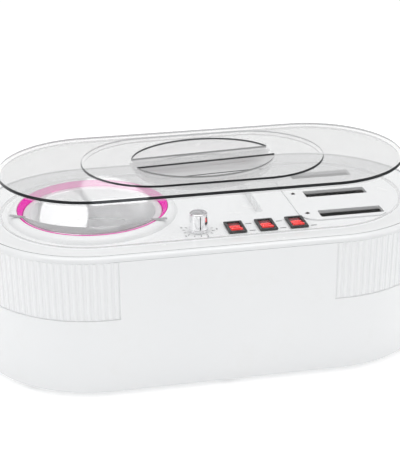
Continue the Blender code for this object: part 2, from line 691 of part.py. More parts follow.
def wiring():
    """Four leads: inlet to terminals, terminals to thermostat, pot heater and cartridges."""
    wire("wire_inlet", [(INLET_X, 0.0735, 0.030), (INLET_X, 0.062, 0.027), (0.050, 0.050, 0.030),
                        (0.050, 0.042, 0.030), (0.050, 0.037, 0.0220)], BLACK)
    wire("wire_thermostat", [(0.040, 0.037, 0.0220), (0.040, 0.037, 0.0280), (0.010, 0.010, 0.048),
                             (-0.010, -0.040, 0.072), (-0.0152, -0.0552, 0.084),
                             (KNOB_X, KNOB_Y, 0.0905)], RED)
    wire("wire_band_heater", [(0.0336, 0.037, 0.014), (0.020, 0.034, 0.014), (-0.008, 0.012, 0.028),
                              (-0.024, 0.006, 0.046), (-0.0322, 0.006, 0.060)], BLACK)
    wire("wire_cartridges", [(0.0674, 0.037, 0.014), (0.0710, 0.037, 0.0142), (0.0765, 0.016, 0.050),
                             (0.0765, 0.000, 0.090), (0.0765, -0.004, 0.1053)], RED)


# ---- lid ---------------------------------------------------------------------------
def lid():
    outer = [stadium(HALF, r, z) for r, z in (
        (LID_R, LID_FOOT_Z), (LID_R, LID_TOP_Z - 0.0022), (LID_R - 0.0006, LID_TOP_Z - 0.0007),
        (LID_R - 0.0022, LID_TOP_Z))]
    obj = place("lid", loft("lid", outer), CLEAR_PC)
    inner_r = LID_R - LID_WALL
    under = LID_TOP_Z - LID_WALL
    cut(obj, loft("lid_hollow", [stadium(HALF, r, z) for r, z in (
        (inner_r, LID_FOOT_Z - 0.01), (inner_r, under - 0.001), (inner_r - 0.001, under))]))
    join(obj, loft("plateau", [stadium(PLATEAU_HALF, r, z) for r, z in (
        (PLATEAU_R + 0.0008, LID_TOP_Z - 0.001), (PLATEAU_R, LID_TOP_Z + 0.0008),
        (PLATEAU_R - 0.0007, PLATEAU_Z))]))
    floor = PLATEAU_Z - GRIP_DEPTH
    join(obj, loft("grip_bowl", [grip_outline(a, b, z) for a, b, z in (
        (GRIP_A - 0.0080, GRIP_B - 0.0080, floor - LID_WALL),
        (GRIP_A - 0.0020, GRIP_B - 0.0020, floor + 0.0040),
        (GRIP_A + 0.0030, GRIP_B + 0.0030, LID_TOP_Z - 0.001))]))
    for k, side in enumerate((1, -1), 1):
        hollow = loft(f"grip_{k}", [grip_outline(a, b, z) for a, b, z in (
            (GRIP_A - 0.0110, GRIP_B - 0.0110, floor), (GRIP_A - 0.0040, GRIP_B - 0.0040, floor + 0.0055),
            (GRIP_A, GRIP_B, PLATEAU_Z), (GRIP_A, GRIP_B, PLATEAU_Z + 0.003))])
        shape = tool(f"cut_grip_{k}", hollow)
        mid = Matrix.Rotation(GRIP_TURN, 3, "Z") @ Vector((0, -side * (0.08 - GRIP_RIB / 2), 0.15))
        cut(shape, block(f"grip_half_{k}", (0.20, 0.16, 0.10), mid, GRIP_TURN))
        boolean(obj, shape, "DIFFERENCE")
    cut(obj, block("rib_hollow", (2 * GRIP_A - 0.030, GRIP_RIB - 2 * LID_WALL, 0.060),
                   (0, 0, PLATEAU_Z - LID_WALL - 0.030), GRIP_TURN))
    return obj


# ---- build -------------------------------------------------------------------------
lower_housing()
base_plate()
feet()
base_screws()
upper_rim()
top_panel()
tool_tray()
slot_plate()
collar_ring()
heater_cup()
wax_pot()
scraper_bar()
band_heater()
thermal_fuse()
thermostat_body()
thermostat_knob()
for number, switch_x in enumerate(SWITCH_X, 1):
    switch_body(number, switch_x)
    rocker(number, switch_x)
for number, led_y in enumerate(LED_Y, 1):
    indicator_led(number, led_y)
for number, slot_y in enumerate(SLOT_Y, 1):
    cartridge_well(number, slot_y)
    cartridge_heater(number, slot_y)
power_inlet()
terminal_block()
led_board()
wiring()
lid()
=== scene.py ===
"""Looks of the salon wax heater: fine surfaces, materials, light and camera round the frame."""
import json
import math

import bpy
from mathutils import Matrix, Vector


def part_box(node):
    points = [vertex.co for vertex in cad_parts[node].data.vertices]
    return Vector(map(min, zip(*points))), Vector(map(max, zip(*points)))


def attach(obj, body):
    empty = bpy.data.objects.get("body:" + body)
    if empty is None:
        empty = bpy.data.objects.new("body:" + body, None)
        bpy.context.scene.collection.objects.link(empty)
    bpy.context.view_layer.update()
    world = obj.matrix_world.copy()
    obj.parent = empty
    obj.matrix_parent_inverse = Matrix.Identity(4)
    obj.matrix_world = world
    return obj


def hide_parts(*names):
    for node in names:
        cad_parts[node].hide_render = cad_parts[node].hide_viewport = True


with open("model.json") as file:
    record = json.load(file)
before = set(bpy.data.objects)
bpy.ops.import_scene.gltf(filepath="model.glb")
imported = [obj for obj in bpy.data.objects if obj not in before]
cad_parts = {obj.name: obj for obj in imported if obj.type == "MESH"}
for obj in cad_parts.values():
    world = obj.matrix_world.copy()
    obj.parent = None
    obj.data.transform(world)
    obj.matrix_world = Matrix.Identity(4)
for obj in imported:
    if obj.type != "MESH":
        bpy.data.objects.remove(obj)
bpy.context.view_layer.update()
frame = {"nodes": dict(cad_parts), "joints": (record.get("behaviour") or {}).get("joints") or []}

# ---- sizes read from the frame, and the fine ones that only the looks need ----------
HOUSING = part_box("lower_housing")
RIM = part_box("upper_rim")
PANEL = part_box("top_panel")
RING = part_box("collar_ring")
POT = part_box("wax_pot")
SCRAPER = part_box("scraper_bar")
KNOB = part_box("thermostat_knob")
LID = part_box("lid")
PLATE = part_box("slot_plate")
BODY_R = HOUSING[1].y
HALF = HOUSING[1].x - BODY_R
SEAM_Z, BODY_Z = HOUSING[1].z, HOUSING[0].z
DRAFT = 0.0023               # how much narrower the casing is at the bottom
FLUTE_START = 0.0842         # where the flutes begin along the straight sides
FLUTE_Z = 0.0655             # their lower end
FLUTE_COUNT = 61
FLUTE_DEPTH = 0.0009
POT_X = (POT[0].x + POT[1].x) / 2
DECK_Z = LID[0].z - 0.0003
PANEL_R = PANEL[1].y
COLLAR_Z = PANEL[1].z
COLLAR_R = RING[1].y + 0.0004
LID_R = LID[1].y
PLATEAU_Z = LID[1].z
LID_TOP = PLATEAU_Z - 0.0018
LID_WALL = 0.0024
LID_FOOT = 0.0014            # height of the band round the lid's lower edge, duller under the heavier grey painted reflection
GRIP_DEPTH = 0.0120          # depth of the step at the bottom of the finger hollows
NEAR_BAND, FAR_BAND = 0.0033, 0.0024    # height of the turned edge painted dark as painted reflection at the near and far side
PLATEAU_HALF, PLATEAU_R = 0.0409, 0.0585
GRIP_A, GRIP_B, GRIP_TURN, GRIP_RIB = 0.0590, 0.0450, math.radians(4.3), 0.0200
SLOTS = [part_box(f"cartridge_well_{i}") for i in (1, 2, 3)]
SWITCHES = [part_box(f"switch_body_{i}") for i in (1, 2, 3)]
LAMPS = [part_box(f"indicator_led_{i}") for i in (1, 2, 3)]
SLOT_LX, SLOT_LY = 0.0525, 0.0135
SLOT_LIP, SLOT_RELIEF = 0.0030, 0.0004  # height of a slot's clean lip, and how far it is cut back below
PLATE_CORNERS = (0.0155, 0.0090)        # radius at the slot plate's left and right end
PLATE_GAP = 0.0001
CUT_LOW, CUT_HIGH = 0.10, 0.14          # heights that take a cutter right through the deck
LAMP_HOLE_R, SPINDLE_HOLE_R = 0.0019, 0.0037
SPINDLE_R, POINTER_HALF = 0.0029, 0.00035
TICK_REACH, FIGURE_REACH, FIGURE_SIZE = 0.0112, 0.0146, 0.0036
CAN_Z, BLADE_TOP, POCKET_Z = 0.0990, 0.1000, 0.1070
POCKET_HALF = (0.0051, 0.0087)
ROCKER_HALF = (0.0045, 0.0079)
ROCKER_TILT = math.radians(-7.0)        # rest position: half of the joint range, tipped back
COLLAR_FOOT_R = 0.0686
TRAY = (Vector((-0.0110, -0.0300, 0)), Vector((0.0435, 0.0580, 0)))
TRAY_DEPTH, TRAY_WALL, TRAY_CORNER = 0.0098, 0.0018, 0.0040
SIDES = 162                  # points round a long outline


# ---- shader maths ------------------------------------------------------------------
class Value:
    """A socket that can be added, multiplied and so on, each time through a Math node."""

    def __init__(self, recipe, socket):
        self.recipe, self.socket = recipe, socket

    def _math(self, operation, first, second):
        return self.recipe.node("ShaderNodeMath", {"operation": operation}, {0: first, 1: second})

    def __add__(self, other):
        return self._math("ADD", self, other)

    __radd__ = __add__

    def __sub__(self, other):
        return self._math("SUBTRACT", self, other)

    def __mul__(self, other):
        return self._math("MULTIPLY", self, other)

    def over(self, edge, soft):
        """0 below the edge and 1 above it, with a soft step between."""
        return self.recipe.node("ShaderNodeMapRange", {"interpolation_type": "SMOOTHSTEP"},
                                {0: self, 1: edge - soft, 2: edge + soft})


class Recipe:
    """One material, whose nodes are added by name with their settings and inputs."""

    def __init__(self, name):
        self.material = bpy.data.materials.new(name)
        self.material.use_nodes = True
        self.tree = self.material.node_tree
        self.shader = self.tree.nodes["Principled BSDF"]
        self.place = self.node("ShaderNodeTexCoord", out="Object")

    def node(self, kind, settings=None, inputs=None, out=0):
        made = self.tree.nodes.new(kind)
        for name, value in (settings or {}).items():
            setattr(made, name, value)
        for key, value in (inputs or {}).items():
            self.feed(made.inputs[key], value)
        return Value(self, made.outputs[out])

    def feed(self, socket, value):
        if isinstance(value, Value):
            self.tree.links.new(value.socket, socket)
        else:
            socket.default_value = value

    def noise(self, scale, detail=3.0, rough=0.5, stretch=(1, 1, 1)):
        spot = self.node("ShaderNodeMapping", None, {"Vector": self.place, "Scale": stretch}, "Vector")
        return self.node("ShaderNodeTexNoise", None,
                         {"Vector": spot, "Scale": scale, "Detail": detail, "Roughness": rough})

    def blend(self, share, first, second):
        """A colour between two, by a share that may vary over the surface."""
        mix = self.tree.nodes.new("ShaderNodeMix")
        mix.data_type = "RGBA"
        self.feed(mix.inputs[0], share)
        for socket, colour in ((mix.inputs[6], first), (mix.inputs[7], second)):
            self.feed(socket, colour if isinstance(colour, Value) else (*colour, 1.0))
        return Value(self, mix.outputs[2])

    def bump(self, height, strength, distance):
        return self.node("ShaderNodeBump", None, {"Height": height, "Strength": strength,
                                                  "Distance": distance}, "Normal")

    def shade(self, **inputs):
        for name, value in inputs.items():
            self.feed(self.shader.inputs[name.replace("_", " ")], value)
        return self.material


def white_plastic():
    """Glossy moulded ABS: faint flow shading, fine orange peel and a few rubbed places."""
    mat = Recipe("white_abs")
    flow = mat.noise(9.0, 2.0)
    rub = mat.noise(38.0, 5.0, 0.65).over(0.62, 0.10)
    peel = mat.noise(420.0, 2.0)
    grit = mat.noise(2600.0, 1.0)
    colour = mat.blend(flow, (0.855, 0.868, 0.880), (0.895, 0.902, 0.908))
    return mat.shade(Base_Color=mat.blend(rub * 0.25, colour, (0.84, 0.84, 0.83)),
                     Roughness=0.19 + rub * 0.05 + flow * 0.04, IOR=1.53, Coat_Weight=0.25,
                     Coat_Roughness=0.06, Normal=mat.bump(peel + grit * 0.3, 0.10, 0.0004))


def deck_plastic():
    """The same white on the deck, a little warmer where wax has been wiped away."""
    mat = Recipe("white_deck")
    wiped = mat.noise(24.0, 4.0, 0.6).over(0.60, 0.08)
    peel = mat.noise(520.0, 2.0)
    return mat.shade(Base_Color=mat.blend(wiped * 0.5, (0.880, 0.888, 0.895), (0.872, 0.876, 0.876)),
                     Roughness=0.24 + wiped * 0.04, IOR=1.50, Coat_Weight=0.1,
                     Coat_Roughness=0.12, Normal=mat.bump(peel, 0.03, 0.0003))


def clear_plastic(name, haze, shade):
    """Thin polished polycarbonate with very fine scuffs, veiled by the given haze and shade: this grey layer
    is painted reflection.
    """
    mat = Recipe(name)
    scuff = mat.noise(70.0, 6.0, 0.7, (1, 4, 1)).over(0.66, 0.05)
    cloud = mat.noise(11.0, 2.0)
    veil = (shade, shade * 1.005, shade * 1.01)
    return mat.shade(Base_Color=mat.blend(scuff, veil, tuple(min(1.0, v * 1.06) for v in veil)),
                     Roughness=0.03 + scuff * 0.06, IOR=1.49,
                     Alpha=haze + cloud * (0.25 * haze) + scuff * 0.02)


def painted_reflection_edge(name, far_side):
    """Edges of the clear lid, painted dark as a painted reflection of the dark of the room, less so at the
    far side.
    """
    mat = Recipe(name)
    patch = mat.noise(30.0, 2.0)
    depth = mat.node("ShaderNodeSeparateXYZ", None, {0: mat.place}, "Y").over(0.0, 0.05)
    # Near-black colour: painted reflection of the room's dark, painted paler towards the far side.
    dark = mat.blend(patch, (0.010, 0.011, 0.012), (0.04, 0.042, 0.045))
    return mat.shade(Base_Color=mat.blend(depth * far_side, dark, (0.62, 0.63, 0.64)),
                     Roughness=0.08 + patch * 0.05, IOR=1.49, Specular_IOR_Level=0.15)


def pink_silicone():
    mat = Recipe("pink_ring")
    cloud = mat.noise(55.0, 2.0)
    dust = mat.noise(700.0, 2.0).over(0.64, 0.04)
    return mat.shade(Base_Color=mat.blend(cloud, (0.76, 0.006, 0.38), (0.84, 0.020, 0.46)),
                     Roughness=0.25 + dust * 0.2, Coat_Weight=0.05, Specular_IOR_Level=0.15,
                     # Faint emission: painted glow, the ring holds no lamp.
                     Emission_Color=mat.blend(cloud, (0.8, 0.01, 0.4), (0.9, 0.03, 0.5)),
                     Emission_Strength=0.12,
                     Normal=mat.bump(dust, 0.08, 0.0003))


def spun_metal(name, low, high, rough, metallic, centre):
    """Aluminium with the fine turning lines of spinning and a few dull spots."""
    mat = Recipe(name)
    spot = mat.node("ShaderNodeMapping", None, {"Vector": mat.place,
                                                "Location": (-centre[0], -centre[1], 0)}, "Vector")
    ring = mat.node("ShaderNodeVectorMath", {"operation": "LENGTH"}, {0: mat.node(
        "ShaderNodeVectorMath", {"operation": "MULTIPLY"}, {0: spot, 1: (1, 1, 0)}, "Vector")}, "Value")
    height = mat.node("ShaderNodeSeparateXYZ", None, {0: spot}, "Z")
    groove = mat.node("ShaderNodeTexNoise", {"noise_dimensions": "1D"},
                      {"W": ring + height, "Scale": 650.0, "Detail": 1.0})
    dull = mat.noise(45.0, 4.0).over(0.58, 0.08)
    return mat.shade(Base_Color=mat.blend(dull * 0.6 + groove * 0.3, high, low),
                     Metallic=metallic + dull * -0.05,
                     Roughness=rough + dull * 0.06 + groove * 0.05, Anisotropic=0.6,
                     Normal=mat.bump(groove, 0.02, 0.0001))


def plated(name, colour, rough):
    """Bright plate with faint hazing and pin-prick wear."""
    mat = Recipe(name)
    haze = mat.noise(120.0, 3.0)
    pit = mat.noise(1500.0, 1.0).over(0.70, 0.03)
    worn = tuple(0.7 * channel for channel in colour)
    return mat.shade(Base_Color=mat.blend(pit * 0.5, colour, worn), Metallic=1.0,
                     Roughness=rough + haze * 0.05 + pit * 0.1, Normal=mat.bump(haze, 0.05, 0.0002))


def grained(name, colour, rough, grain=1600.0, depth=0.25):
    """Moulded plastic or rubber with a fine spark-eroded grain."""
    mat = Recipe(name)
    coarse = mat.noise(60.0, 3.0)
    fine = mat.noise(grain, 2.0)
    lighter = tuple(min(1.0, channel * 1.25 + 0.01) for channel in colour)
    return mat.shade(Base_Color=mat.blend(coarse, colour, lighter),
                     Roughness=rough + fine * 0.12 - 0.06, Normal=mat.bump(fine, depth, 0.0003))


def red_lens():
    """Translucent red rocker; its emission is a painted glow."""
    mat = Recipe("red_rocker")
    ripple = mat.noise(900.0, 1.0)
    glow = mat.noise(160.0, 1.0)
    return mat.shade(Base_Color=mat.blend(glow, (0.70, 0.010, 0.012), (0.88, 0.030, 0.030)),
                     Roughness=0.16 + ripple * 0.08, Coat_Weight=0.5,
                     # Emission: painted glow that brightens the lit red.
                     Emission_Color=mat.blend(glow, (0.9, 0.02, 0.02), (1.0, 0.06, 0.05)),
                     Emission_Strength=0.45, Normal=mat.bump(ripple, 0.06, 0.0003))


def mica_plate():
    mat = Recipe("mica")
    flake = mat.node("ShaderNodeTexVoronoi", None, {"Vector": mat.place, "Scale": 500.0})
    return mat.shade(Base_Color=mat.blend(flake, (0.42, 0.34, 0.22), (0.58, 0.50, 0.38)),
                     Roughness=0.45 + flake * 0.2, Normal=mat.bump(flake, 0.2, 0.0003))


WHITE, DECK = white_plastic(), deck_plastic()
# Grey layers over the lid are painted reflection: faint on the walls, heavy on the top and foot.
CLEAR, CLEAR_TOP_PAINTED_REFLECTION = clear_plastic("clear_lid", 0.018, 0.92), clear_plastic("clear_lid_top_painted_reflection", 0.36, 0.60)
# Dark lid edges: painted reflection, the main edge paler at the far side.
EDGE, GRIP_EDGE_PAINTED_REFLECTION = painted_reflection_edge("clear_lid_edge_painted_reflection", 0.85), painted_reflection_edge("clear_grip_edge_painted_reflection", 0.15)
PINK = pink_silicone()
SPUN = spun_metal("spun_aluminium", (0.84, 0.845, 0.85), (0.91, 0.913, 0.916), 0.26, 0.55, (POT_X, 0.0))
# Darker copy of the spun aluminium for the wiping bar: painted shade.
BAR_PAINTED_SHADE = spun_metal("wiping_bar_metal_painted_shade", (0.46, 0.463, 0.47), (0.58, 0.583, 0.59), 0.30, 0.55, (POT_X, 0.0))
CHROME = plated("chrome", (0.93, 0.93, 0.94), 0.09)
STEEL = plated("steel", (0.55, 0.56, 0.57), 0.28)
BRASS = plated("brass", (0.70, 0.52, 0.22), 0.22)
BLACK = grained("black_nylon", (0.012, 0.012, 0.013), 0.34)
PRINT = grained("printed_marks", (0.035, 0.035, 0.04), 0.50, 3000.0, 0.05)
INSULATION = grained("red_insulation", (0.45, 0.03, 0.025), 0.55)
RUBBER = grained("grey_rubber", (0.06, 0.06, 0.06), 0.75, 900.0, 0.5)
# Near-black for the cartridge wells: painted shade inside the slots.
WELL_PAINTED_SHADE = grained("dark_anodised", (0.002, 0.002, 0.002), 0.65, 800.0, 0.2)
BOARD = grained("green_board", (0.02, 0.14, 0.05), 0.45, 500.0, 0.2)
LAMP = grained("lamp_lens", (0.020, 0.012, 0.012), 0.18, 2000.0, 0.02)
RED = red_lens()
# Darker red for the rocker's far part: painted shade.
RED_PAINTED_SHADE = grained("red_painted_shade", (0.16, 0.006, 0.010), 0.20, 900.0, 0.05)
MICA = mica_plate()


# ---- modelling ----------------------------------------------------------------------
def only(obj):
    bpy.ops.object.select_all(action="DESELECT")
    obj.select_set(True)
    bpy.context.view_layer.objects.active = obj


def edit(obj, kind="FACE", test=None):
    """Go into edit mode with everything selected, or only what passes the test."""
    only(obj)
    bpy.ops.object.mode_set(mode="EDIT")
    bpy.ops.mesh.select_mode(type=kind)
    bpy.ops.mesh.select_all(action="SELECT" if test is None else "DESELECT")
    if test is not None:
        bpy.ops.object.mode_set(mode="OBJECT")
        items = {"FACE": obj.data.polygons, "EDGE": obj.data.edges, "VERT": obj.data.vertices}[kind]
        for item in items:
            item.select = test(item)
        bpy.ops.object.mode_set(mode="EDIT")


def done():
    bpy.ops.object.mode_set(mode="OBJECT")


def settle(obj, name):
    """Name a new primitive and put its place into its mesh."""
    obj.name = obj.data.name = name
    only(obj)
    bpy.ops.object.transform_apply(location=True, rotation=True, scale=True)
    return obj


def disc(name, radius, z, centre=(0.0, 0.0), sides=SIDES):
    bpy.ops.mesh.primitive_circle_add(vertices=sides, radius=radius, fill_type="NGON",
                                      location=(*centre, z), rotation=(0, 0, math.pi / sides))
    return settle(bpy.context.object, name)


def stadium(name, half, radius, z, sides=SIDES):
    """A disc pulled apart into two round ends and two straight sides."""
    obj = disc(name, radius, z, sides=sides)
    for side in (1, -1):
        edit(obj, "VERT", lambda v: side * v.co.x > 0)
        bpy.ops.transform.translate(value=(side * half, 0, 0))
        done()
    return obj


def box(name, low, high, turn=0.0):
    size = [b - a for a, b in zip(low, high)]
    middle = [(a + b) / 2 for a, b in zip(low, high)]
    bpy.ops.mesh.primitive_cube_add(size=1.0, location=middle, rotation=(0, 0, turn), scale=size)
    return settle(bpy.context.object, name)


def post(name, radius, low, high, centre, sides=48):
    bpy.ops.mesh.primitive_cylinder_add(vertices=sides, radius=radius, depth=high - low,
                                        location=(*centre, (low + high) / 2))
    return settle(bpy.context.object, name)


def profile(steps):
    """Step the selected cap in and along its normal, once for each (in, along) pair."""
    for inward, along in steps:
        bpy.ops.mesh.inset(thickness=inward, depth=along)


def modify(obj, kind, **settings):
    only(obj)
    mod = obj.modifiers.new(kind.lower(), kind)
    for name, value in settings.items():
        setattr(mod, name, value)
    bpy.ops.object.modifier_apply(modifier=mod.name)
    return obj


def combine(obj, other, operation):
    modify(obj, "BOOLEAN", object=other, operation=operation, solver="EXACT")
    bpy.data.objects.remove(other, do_unlink=True)
    return obj


def thicken(obj, wall):
    return modify(obj, "SOLIDIFY", thickness=wall, offset=-1.0)


def soften(obj, width, segments=2, angle=40.0, material=-1):
    return modify(obj, "BEVEL", width=width, segments=segments, limit_method="ANGLE",
                  angle_limit=math.radians(angle), material=material)


def joined(name, parts):
    bpy.ops.object.select_all(action="DESELECT")
    for part in parts:
        part.select_set(True)
    bpy.context.view_layer.objects.active = parts[0]
    bpy.ops.object.join()
    parts[0].name = parts[0].data.name = name
    return parts[0]


def finish(obj, material, body, slot_name, *nodes, angle=30.0):
    only(obj)
    bpy.ops.object.shade_smooth_by_angle(angle=math.radians(angle))
    modify(obj, "WEIGHTED_NORMAL", keep_sharp=True)
    if not obj.data.materials:
        obj.data.materials.append(material)
    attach(obj, body)
    if nodes:
        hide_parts(*nodes)
    return obj


# ---- casing -------------------------------------------------------------------------
def casing():
    """Tub with a drafted wall, sunk fields at both ends for the flutes, and a rounded foot."""
    obj = stadium("casing_shell", HALF, BODY_R, SEAM_Z)
    edit(obj)
    bpy.ops.mesh.flip_normals()
    upper, lower = SEAM_Z - FLUTE_Z, FLUTE_Z - BODY_Z
    share = DRAFT / (upper + lower)
    profile([(share * upper, upper), (share * lower, lower - 0.0012), (0.0003, 0.0008),
             (0.0008, 0.0004), (0.0018, 0.0)])
    bpy.ops.mesh.delete(type="FACE")
    for side in (1, -1):
        bpy.ops.mesh.select_all(action="SELECT")
        bpy.ops.mesh.bisect(plane_co=(side * FLUTE_START, 0, 0), plane_no=(1, 0, 0))
    done()
    edit(obj, "FACE", lambda f: f.center.z > FLUTE_Z and abs(f.center.x) > FLUTE_START)
    bpy.ops.mesh.inset(thickness=0.0004, depth=-FLUTE_DEPTH)
    done()
    thicken(obj, 0.0016)
    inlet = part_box("power_inlet")
    gap = 0.0012
    hole = box("hole", (inlet[0].x + gap, 0.08, inlet[0].z + gap),
               (inlet[1].x - gap, 0.12, inlet[1].z - gap))
    combine(obj, hole, "DIFFERENCE")
    return finish(obj, WHITE, "base", "white_abs", "lower_housing")


def flutes():
    """One upright half-round flute, copied round both ends and joined to one band each."""
    top = SEAM_Z - 0.0002
    height = top - FLUTE_Z - 0.0012
    tilt = math.atan(DRAFT / (SEAM_Z - BODY_Z))
    bpy.ops.mesh.primitive_cylinder_add(vertices=14, radius=1.0, depth=height, location=(0, 0, 0),
                                        scale=(0.0011, 0.0019, 1.0))
    pattern = settle(bpy.context.object, "flute")
    edit(pattern, "FACE", lambda f: f.normal.z < -0.5)
    bpy.ops.mesh.inset(thickness=0.0005, depth=0.0006)
    done()
    lead = HALF - FLUTE_START
    length = 2 * lead + math.pi * BODY_R
    pitch = length / FLUTE_COUNT
    middle_z = top - height / 2
    reach = BODY_R - 0.0012 - math.tan(tilt) * (SEAM_Z - middle_z)
    for side, name in ((1, "flutes_right"), (-1, "flutes_left")):
        bars = []
        for i in range(FLUTE_COUNT):
            run = pitch * (i + 0.5)
            if run < lead:
                along, angle = FLUTE_START + run, -math.pi / 2
            elif run > length - lead:
                along, angle = HALF - (run - length + lead), math.pi / 2
            else:
                along, angle = HALF, (run - lead) / BODY_R - math.pi / 2
            spot = Matrix.Translation((side * (along + reach * math.cos(angle)),
                                       side * reach * math.sin(angle), middle_z))
            facing = angle if side > 0 else angle + math.pi
            bar = bpy.data.objects.new("flute_bar", pattern.data.copy())
            bpy.context.scene.collection.objects.link(bar)
            bar.data.transform(spot @ Matrix.Rotation(facing, 4, "Z") @ Matrix.Rotation(tilt, 4, "Y"))
            bars.append(bar)
        band = joined(name, bars)
        finish(band, WHITE, "base", "white_abs", angle=50.0)
    bpy.data.objects.remove(pattern, do_unlink=True)


def rim():
    """Rounded white band between the casing's seam and the deck."""
    obj = stadium("rim_band", HALF, RIM[1].y, SEAM_Z + 0.0005)
    edit(obj)
    profile([(0.0002, 0.0010), (0.0006, 0.0011), (0.0012, 0.0009), (0.0016, 0.0004),
             (0.0012, 0.0001), (0.0003, -0.0004), (0.0001, -0.0060)])
    bpy.ops.mesh.delete(type="FACE")
    done()
    thicken(obj, 0.0010)
    return finish(obj, WHITE, "base", "white_abs", "upper_rim")


def groove_painted_shade():
    """Thin dark strip in the groove between the rim and the deck: painted shade of the shadow gap."""
    obj = stadium("deck_groove_painted_shade", HALF, PANEL_R + 0.0007, DECK_Z)
    edit(obj)
    profile([(0.0, 0.0022), (0.0010, 0.0), (0.0001, -0.0022)])
    bpy.ops.mesh.delete(type="FACE")
    done()
    return finish(obj, RUBBER, "base", "grey_rubber")


def deck():
    """Control deck: dished shoulder, raised collar, tray and cut-outs."""
    obj = stadium("control_deck", HALF, PANEL_R, DECK_Z - 0.0042)
    edit(obj)
    profile([(0.0001, 0.0056), (0.0004, 0.0008), (0.0009, 0.0003), (0.0036, -0.0003),
             (0.0060, -0.0010), (0.0060, -0.0009), (0.0012, -0.0003)])
    bpy.ops.mesh.select_all(action="SELECT")
    done()
    thicken(obj, 0.0013)
    collar = disc("collar", COLLAR_FOOT_R, DECK_Z - 0.0010, (POT_X, 0.0))
    edit(collar)
    rise = COLLAR_Z - DECK_Z
    profile([(0.0002, 0.0012), (0.0006, 0.0012), (0.0010, 0.0013), (0.0016, 0.0012),
             (0.0018, 0.0006), (0.0014, rise - 0.0045)])
    bpy.ops.mesh.select_all(action="DESELECT")
    done()
    close_bottom(collar)
    combine(obj, collar, "UNION")
    skirt = box("tray_walls", (TRAY[0].x - TRAY_WALL, TRAY[0].y - TRAY_WALL, DECK_Z - TRAY_DEPTH - TRAY_WALL),
                (TRAY[1].x + TRAY_WALL, TRAY[1].y + TRAY_WALL, DECK_Z - 0.0010))
    combine(obj, skirt, "UNION")
    combine(obj, post("well", COLLAR_R, DECK_Z - 0.02, COLLAR_Z + 0.01, (POT_X, 0.0), SIDES), "DIFFERENCE")
    hollow = box("tray_hollow", (TRAY[0].x, TRAY[0].y, DECK_Z - TRAY_DEPTH), (TRAY[1].x, TRAY[1].y, CUT_HIGH))
    round_corners(hollow, TRAY_CORNER, 5)
    combine(obj, hollow, "DIFFERENCE")
    combine(obj, plate_form("plate_opening", PLATE_GAP, CUT_LOW, CUT_HIGH), "DIFFERENCE")
    for switch in SWITCHES:
        inset = 0.0008
        hole = box("switch_hole", (switch[0].x + inset, switch[0].y + inset, CUT_LOW),
                   (switch[1].x - inset, switch[1].y - inset, CUT_HIGH))
        combine(obj, hole, "DIFFERENCE")
    knob = ((KNOB[0].x + KNOB[1].x) / 2, (KNOB[0].y + KNOB[1].y) / 2)
    combine(obj, post("knob_hole", SPINDLE_HOLE_R, CUT_LOW, CUT_HIGH, knob, 24), "DIFFERENCE")
    soften(obj, 0.0003, 2, 50.0)
    return finish(obj, DECK, "base", "white_abs", "top_panel", "tool_tray", angle=35.0)


def plate_form(name, grow, low, high):
    """Block in the slot plate's outline, with wider corners at its left end."""
    obj = box(name, (PLATE[0].x - grow, PLATE[0].y - grow, low), (PLATE[1].x + grow, PLATE[1].y + grow, high))
    middle, right_end = (PLATE[0].x + PLATE[1].x) / 2, PLATE[1].x + grow - 0.0001
    round_corners(obj, PLATE_CORNERS[0] + grow, 10, lambda x: x < middle)
    round_corners(obj, PLATE_CORNERS[1] + grow, 8, lambda x: x > right_end)
    return obj


def slot_plate():
    """Raised plate with a rolled edge, three slots and the lamp holes."""
    obj = plate_form("slot_plate_fine", 0.0, PLATE[0].z, PLATE[1].z)
    for well in SLOTS:
        x, y = (well[0].x + well[1].x) / 2, (well[0].y + well[1].y) / 2
        half_x, half_y = SLOT_LX / 2, SLOT_LY / 2
        slot = box("slot", (x - half_x, y - half_y, CUT_LOW), (x + half_x, y + half_y, CUT_HIGH))
        round_corners(slot, 0.0012, 3)
        combine(obj, slot, "DIFFERENCE")
        wide_x, wide_y = half_x + SLOT_RELIEF, half_y + SLOT_RELIEF
        relief = box("relief", (x - wide_x, y - wide_y, CUT_LOW),
                     (x + wide_x, y + wide_y, PLATE[1].z - SLOT_LIP))
        combine(obj, relief, "DIFFERENCE")
    for lamp in LAMPS:
        spot = ((lamp[0].x + lamp[1].x) / 2, (lamp[0].y + lamp[1].y) / 2)
        combine(obj, post("lamp_hole", LAMP_HOLE_R, CUT_LOW, CUT_HIGH, spot, 24), "DIFFERENCE")
    soften(obj, 0.0003, 2, 50.0)
    return finish(obj, DECK, "base", "white_abs", "slot_plate", angle=35.0)


def close_bottom(obj):
    """Fill the open lowest outline of a raised disc."""
    lowest = min(v.co.z for v in obj.data.vertices)
    edit(obj, "VERT", lambda v: v.co.z < lowest + 0.00001)
    bpy.ops.mesh.select_mode(type="EDGE")
    bpy.ops.mesh.edge_face_add()
    bpy.ops.mesh.select_all(action="SELECT")
    bpy.ops.mesh.normals_make_consistent(inside=False)
    done()


def round_corners(obj, radius, segments, where=lambda x: True):
    """Round the upright edges of a block, all of them or those whose X passes a test."""
    vertices = obj.data.vertices
    edit(obj, "EDGE", lambda e: abs(vertices[e.vertices[0]].co.z - vertices[e.vertices[1]].co.z) > 0.0005
         and where(vertices[e.vertices[0]].co.x))
    bpy.ops.mesh.bevel(offset=radius, segments=segments, affect="EDGES")
    done()


